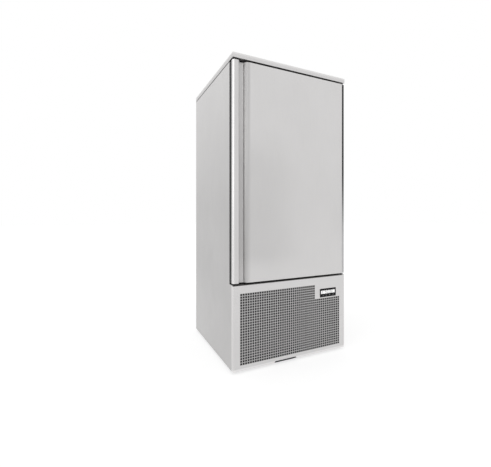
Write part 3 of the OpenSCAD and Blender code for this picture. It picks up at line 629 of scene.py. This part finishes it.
class Piece:
    """Gathers plates, heads and tubes in one mesh, and sets it on a body."""

    def __init__(self):
        self.mesh = bmesh.new()

    def plate(self, outline, origin, across, up, depth):
        """A flat outline in across and up, given depth along their cross product."""
        origin, out = Vector(origin), across.cross(up) * depth
        rings = []
        for shift in (Vector(), out):
            rings.append([self.mesh.verts.new(origin + across * a + up * b + shift)
                          for a, b in outline])
        count = len(outline)
        self.mesh.faces.new(rings[0][::-1])
        self.mesh.faces.new(rings[1])
        for i in range(count):
            j = (i + 1) % count
            self.mesh.faces.new((rings[0][i], rings[0][j], rings[1][j], rings[1][i]))

    def lathe(self, profile, origin, axis, sides=20):
        """Turns (radius, height) pairs round an axis; both ends close on the axis."""
        origin = Vector(origin)
        side = axis.orthogonal().normalized()
        other = axis.cross(side)
        rings = []
        for radius, height in profile:
            ring = []
            for k in range(sides):
                turn = 2 * math.pi * k / sides
                ring.append(self.mesh.verts.new(
                    origin + axis * height
                    + (side * math.cos(turn) + other * math.sin(turn)) * radius))
            rings.append(ring)
        for low, high in zip(rings, rings[1:]):
            for k in range(sides):
                j = (k + 1) % sides
                self.mesh.faces.new((low[k], low[j], high[j], high[k]))
        self.mesh.faces.new(rings[0][::-1])
        self.mesh.faces.new(rings[-1])

    def tube(self, path, radius, sides):
        """A round tube along a path, with flat ends."""
        points = [Vector(point) for point in path]
        rings = []
        side = None
        for i, point in enumerate(points):
            ahead = points[min(i + 1, len(points) - 1)] - points[max(i - 1, 0)]
            ahead.normalize()
            side = ahead.orthogonal() if side is None else side - ahead * side.dot(ahead)
            side.normalize()
            other = ahead.cross(side)
            rings.append([self.mesh.verts.new(
                point + (side * math.cos(a) + other * math.sin(a)) * radius)
                for a in (2 * math.pi * k / sides for k in range(sides))])
        for low, high in zip(rings, rings[1:]):
            for k in range(sides):
                j = (k + 1) % sides
                self.mesh.faces.new((low[k], low[j], high[j], high[k]))
        self.mesh.faces.new(rings[0][::-1])
        self.mesh.faces.new(rings[-1])

    def place(self, name, body, slot, finish, bevel=0.0, smooth=False):
        bmesh.ops.recalc_face_normals(self.mesh, faces=self.mesh.faces)
        mesh = bpy.data.meshes.new(name)
        self.mesh.to_mesh(mesh)
        self.mesh.free()
        if smooth:
            mesh.shade_smooth()
        obj = bpy.data.objects.new(name, mesh)
        bpy.context.scene.collection.objects.link(obj)
        obj.data.materials.append(MATERIALS[finish])
        if bevel:
            edge = obj.modifiers.new("edge", "BEVEL")
            edge.width = bevel
            edge.segments = 2
            edge.limit_method = "ANGLE"
        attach(obj, body)
        return obj


def round_rect(w, h, r, steps=5):
    """Outline of a rectangle with round corners, centred."""
    points = []
    for k, (sx, sy) in enumerate(((1, 1), (-1, 1), (-1, -1), (1, -1))):
        for step in range(steps + 1):
            turn = math.pi / 2 * (k + step / steps)
            points.append((sx * (w / 2 - r) + r * math.cos(turn),
                           sy * (h / 2 - r) + r * math.sin(turn)))
    return points


def disc(r, sides):
    return [(r * math.cos(2 * math.pi * k / sides), r * math.sin(2 * math.pi * k / sides))
            for k in range(sides)]


# Controller: figures on the display, and a sign on each key
DISPLAY_X, _, DISPLAY_Z = centre("display_window")
BOARD_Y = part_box("display_board")[0].y
PRINT_THICK = 0.0001
DIGITS = "9030"
DIGIT_AT = -0.018
DIGIT_STEP = 0.0165
DIGIT_W = 0.0085
DIGIT_HALF_H = 0.0085
STROKE = 0.0021
STROKE_GAP = 0.0008
SEGMENTS = {"0": "abcdef", "3": "abcdg", "9": "abcdfg"}
POINT_AT = 0.0235
POINT_R = 0.0014
MARK_AT = (-0.042, 0.004)
MARK_SIZE = (0.009, 0.003, 0.0012)


def bar(w, h):
    """A slim segment with pointed ends."""
    if w > h:
        return [(-w / 2, 0), (-w / 2 + h / 2, -h / 2), (w / 2 - h / 2, -h / 2), (w / 2, 0),
                (w / 2 - h / 2, h / 2), (-w / 2 + h / 2, h / 2)]
    return [(y, x) for x, y in bar(h, w)][::-1]


def make_display():
    piece = Piece()
    w, h = DIGIT_W, DIGIT_HALF_H
    spots = {"a": (0, h, 1), "b": (w / 2, h / 2, 0), "c": (w / 2, -h / 2, 0),
             "d": (0, -h, 1), "e": (-w / 2, -h / 2, 0), "f": (-w / 2, h / 2, 0),
             "g": (0, 0, 1)}
    for place, digit in enumerate(DIGITS):
        x = DISPLAY_X + DIGIT_AT + DIGIT_STEP * place
        for key in SEGMENTS[digit]:
            dx, dz, flat = spots[key]
            outline = bar(w - STROKE_GAP, STROKE) if flat else bar(STROKE, h - STROKE_GAP)
            piece.plate(outline, (x + dx, BOARD_Y, DISPLAY_Z + dz), X, Z, PRINT_THICK)
    point = (DISPLAY_X + POINT_AT, BOARD_Y, DISPLAY_Z - h)
    piece.plate(disc(POINT_R, 10), point, X, Z, PRINT_THICK)
    for way in (1, -1):
        mark = (DISPLAY_X + MARK_AT[0], BOARD_Y, DISPLAY_Z + way * MARK_AT[1])
        piece.plate(round_rect(*MARK_SIZE, 3), mark, X, Z, PRINT_THICK)
    piece.place("display_figures", "cabinet", "black_plastic", "figures")


KEY_CORNER = 0.0015
SIGN_THICK = 0.0002
RING = 0.0017
RING_INNER = 0.78
RING_GAP = 40
RING_BAR = (0.0002, 0.0003, 0.0022)
SQUARE = 0.0028
ARROW = (0.002, 0.0013, 0.0019)


def key_sign(piece, name, at):
    """A plain raised sign: a ring and bar, a square, or a triangle down or up."""
    if name == "key_power":
        ring = [(RING * math.sin(a), RING * math.cos(a))
                for a in (math.radians(d) for d in range(RING_GAP, 361 - RING_GAP, 20))]
        k = RING_INNER
        for (a, b), (c, d) in zip(ring, ring[1:]):
            piece.plate([(a * k, b * k), (a, b), (c, d), (c * k, d * k)][::-1],
                        at, X, Z, SIGN_THICK)
        half, foot, top = RING_BAR
        piece.plate([(-half, foot), (half, foot), (half, top), (-half, top)],
                    at, X, Z, SIGN_THICK)
    elif name == "key_set":
        piece.plate(round_rect(SQUARE, SQUARE, 0.0004, 3), at, X, Z, SIGN_THICK)
    else:
        way = 1 if name == "key_up" else -1
        half, low, high = ARROW
        tip = [(-half, -low * way), (half, -low * way), (0, high * way)]
        piece.plate(tip if way > 0 else tip[::-1], at, X, Z, SIGN_THICK)


def make_key(name):
    """A cap with softened edges in place of the key's node, and a sign on its face."""
    low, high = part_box(name)
    size = high - low
    x, _, z = centre(name)
    face = low.y + SIGN_THICK
    cap = Piece()
    cap.plate(round_rect(size.x, size.z, KEY_CORNER), (x, high.y, z), X, Z, high.y - face)
    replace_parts(cap.place(name + "_cap", name, "keys", "keys", bevel=0.0005), name)
    sign = Piece()
    key_sign(sign, name, (x, face, z))
    sign.place(name + "_sign", name, "white_plastic", "sign")


make_display()
for key in FINISH["keys"]:
    make_key(key)

# Back of the cabinet: rear sheet with its screws, and screws of the service panel
(_, SHEET_BACK, REAR_FOOT), (REAR_X, _, REAR_TOP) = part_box("rear_panel")
SHEET_THICK = 0.0004
FIELD_THICK = 0.0003
FIELD_MARGIN = 0.09
REAR_INSET = 0.012
REAR_ENDS = 0.03
REAR_ACROSS = 0.18
REAR_ROWS = 7
REAR_HEAD = 0.0007
SERVICE_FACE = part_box("rear_service_panel")[0].y + 0.0012
SERVICE_X = 0.364
SERVICE_Z = (0.032, 0.06)
SERVICE_STEP = (0.16, 0.13)
SERVICE_HEAD = 0.0016


def head(piece, at, axis, radius=0.0042, height=0.0011):
    """A pan head with a shallow round recess in its top."""
    piece.lathe([(radius, 0), (radius, height * 0.45), (radius * 0.8, height * 0.9),
                 (radius * 0.45, height), (radius * 0.36, height * 0.55)], at, axis)


def make_back():
    sheet = Piece()
    tall, wide = REAR_TOP - REAR_FOOT, 2 * REAR_X
    z_mid = (REAR_FOOT + REAR_TOP) / 2
    face = SHEET_BACK + SHEET_THICK
    sheet.plate(round_rect(tall, wide, 0.0005, 1), (0, SHEET_BACK, z_mid), Z, X, SHEET_THICK)
    sheet.plate(round_rect(tall - FIELD_MARGIN, wide - FIELD_MARGIN, 0.02, 6),
                (0, face, z_mid), Z, X, FIELD_THICK)
    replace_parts(sheet.place("rear_sheet", "cabinet", "galvanised", "zinc"), "rear_panel")
    screws = Piece()
    for k in range(REAR_ROWS):
        z = REAR_FOOT + REAR_ENDS + k * (tall - 2 * REAR_ENDS) / (REAR_ROWS - 1)
        for side in (-1, 1):
            head(screws, (side * (REAR_X - REAR_INSET), face, z), Y, height=REAR_HEAD)
    for k in range(-1, 2):
        for z in (REAR_FOOT + REAR_INSET, REAR_TOP - REAR_INSET):
            head(screws, (k * REAR_ACROSS, face, z), Y, height=REAR_HEAD)
    for k in range(-2, 3):
        at = (k * SERVICE_STEP[0], SERVICE_FACE, SERVICE_Z[0])
        head(screws, at, Y, height=SERVICE_HEAD)
    for k in range(4):
        for side in (-1, 1):
            at = (side * SERVICE_X, SERVICE_FACE, SERVICE_Z[1] + k * SERVICE_STEP[1])
            head(screws, at, Y, height=SERVICE_HEAD)
    screws.place("back_screws", "cabinet", "hinge_steel", "plated")


make_back()

# Return bends of both coils, screws of the fan guards and stops of the tray runners
RUNNER_X, RUNNER_BACK, RUNNER_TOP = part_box("tray_runners")[1]
RUNNER_W = 0.027
LEVEL_STEP = 0.068
LEVELS = 15
STOP_H = 0.009
STOP_SLANT = 0.003
STOP_THICK = 0.0012
STOP_PROUD = 0.0002
COVER_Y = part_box("evaporator_cover")[0].y
FAN_Z = [round(centre(f"evaporator_rotor_{k}").z, 4) for k in (1, 2, 3)]
GUARD_R = 0.1165
GUARD_SCREWS = 6
BEND_OUT = 0.002
BEND_IN = 0.001


def bend(piece, at, step, radius, way):
    """A half-turn of tube out of an end plate and back in, one row higher."""
    at, half = Vector(at), step / 2
    path = [at - X * way * BEND_IN]
    for k in range(9):
        turn = math.pi * (k / 8 - 0.5)
        path.append(at + X * way * (BEND_OUT + half * math.cos(turn))
                    + Z * half * (1 + math.sin(turn)))
    path.append(at + Z * step - X * way * BEND_IN)
    piece.tube(path, radius, 8)


def make_bends(name, coil, slot, finish, rows, step, low, columns, radius):
    """Joins rows in pairs at the right end of a coil, and the pairs at its left end."""
    left, right = (corner.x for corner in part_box(coil))
    bends = Piece()
    for y in columns:
        for row in range(0, rows - 1, 2):
            z = low + row * step
            bend(bends, (right, y, z), step, radius, 1)
            if row + 2 < rows:
                bend(bends, (left, y, z + step), step, radius, -1)
    bends.place(name, "cabinet", slot, finish, smooth=True)


def make_guard_screws():
    screws = Piece()
    for z in FAN_Z:
        for k in range(GUARD_SCREWS):
            turn = 2 * math.pi * k / GUARD_SCREWS
            at = (GUARD_R * math.cos(turn), COVER_Y, z + GUARD_R * math.sin(turn))
            head(screws, at, -Y, radius=0.005, height=0.0022)
    screws.place("guard_screws", "cabinet", "hinge_steel", "plated")


def make_runner_stops():
    stops = Piece()
    y = RUNNER_BACK + STOP_PROUD
    for level in range(LEVELS):
        z = RUNNER_TOP - level * LEVEL_STEP - STOP_THICK / 2
        for side in (-1, 1):
            a, b = sorted((side * RUNNER_X, side * (RUNNER_X - RUNNER_W)))
            outline = [(a, 0), (b, 0), (b - STOP_SLANT, STOP_H), (a + STOP_SLANT, STOP_H)]
            stops.plate(outline, (0, y, z), X, Z, STOP_THICK)
    stops.place("runner_stops", "cabinet", "stainless_inside", "inside_flat")


make_bends("evaporator_bends", "evaporator_coil", "copper", "copper", rows=20, step=0.05,
           low=0.675, columns=(0.245, 0.305), radius=0.0055)
make_bends("condenser_bends", "condenser_coil", "black_paint", "enamel", rows=14,
           step=0.026, low=0.08, columns=(-0.325, -0.295), radius=0.004)
make_guard_screws()
make_runner_stops()

# ---------------------------------------------------------------- studio

WORLD_LIGHT = 0.85
FLOOR_HALF = 30.0
FLOOR_TONE = 0.35
FLOOR_GLOW = 0.7
FLOOR_SHEEN = 0.12
UNDER = (0.28, 0.34)  # painted shade: the floor's glow dims under the cabinet
UNDER_SHADE = 0.08


def make_world():
    """White behind and in reflections, a plain grey light on the object."""
    world = bpy.data.worlds.new("studio")
    bpy.context.scene.world = world
    world.use_nodes = True
    g = Graph(world.node_tree)
    background = world.node_tree.nodes["Background"]
    background.inputs["Color"].default_value = (1.0, 1.0, 1.0, 1.0)
    g.join(g.spread(g.seen(), WORLD_LIGHT, 1.0, 0.0, 1.0), background.inputs["Strength"])


def make_sun(name, strength, direction, softness):
    data = bpy.data.lights.new(name, "SUN")
    data.energy = strength
    data.angle = math.radians(softness)
    lamp = bpy.data.objects.new(name, data)
    bpy.context.scene.collection.objects.link(lamp)
    lamp.rotation_euler = Vector(direction).to_track_quat("-Z", "Y").to_euler()


def make_floor():
    """A pale floor that shows white, greys a little round the object, with painted shade under
    it.
    """
    mesh = bpy.data.meshes.new("floor")
    side = FLOOR_HALF
    mesh.from_pydata([(-side, -side, 0), (side, -side, 0), (side, side, 0),
                      (-side, side, 0)], [], [(0, 1, 2, 3)])
    floor = bpy.data.objects.new("floor", mesh)
    bpy.context.scene.collection.objects.link(floor)
    material, g, shader = new_material("floor")
    tree = material.node_tree
    shader.inputs["Base Color"].default_value = (FLOOR_TONE, FLOOR_TONE, FLOOR_TONE, 1.0)
    shader.inputs["Roughness"].default_value = 0.9
    shader.inputs["Specular IOR Level"].default_value = 0.0
    glow = g.add("ShaderNodeEmission")
    path = g.add("ShaderNodeLightPath")
    strength = g.math("ADD", g.times(g.seen(), FLOOR_GLOW),
                      g.times(path.outputs["Is Glossy Ray"], FLOOR_SHEEN))
    x, y, _ = g.place()
    under = g.times(g.smooth(g.math("ABSOLUTE", x), UNDER[1], UNDER[0]),
                    g.smooth(g.math("ABSOLUTE", y), UNDER[1], UNDER[0]))
    g.join(g.times(strength, g.spread(under, 1.0, UNDER_SHADE, 0.0, 1.0)),
           glow.inputs["Strength"])
    both = g.add("ShaderNodeAddShader")
    g.join(shader.outputs["BSDF"], both.inputs[0])
    g.join(glow.outputs["Emission"], both.inputs[1])
    g.join(both.outputs["Shader"], tree.nodes["Material Output"].inputs["Surface"])
    floor.data.materials.append(material)


make_world()
make_floor()
make_sun("key", 0.4, (0.45, 0.75, -0.6), 50)
make_sun("fill", 0.15, (-0.5, 0.7, -0.5), 60)
make_sun("left", 1.35, (0.97, 0.05, -0.1), 70)

bpy.context.scene.view_settings.view_transform = "Standard"
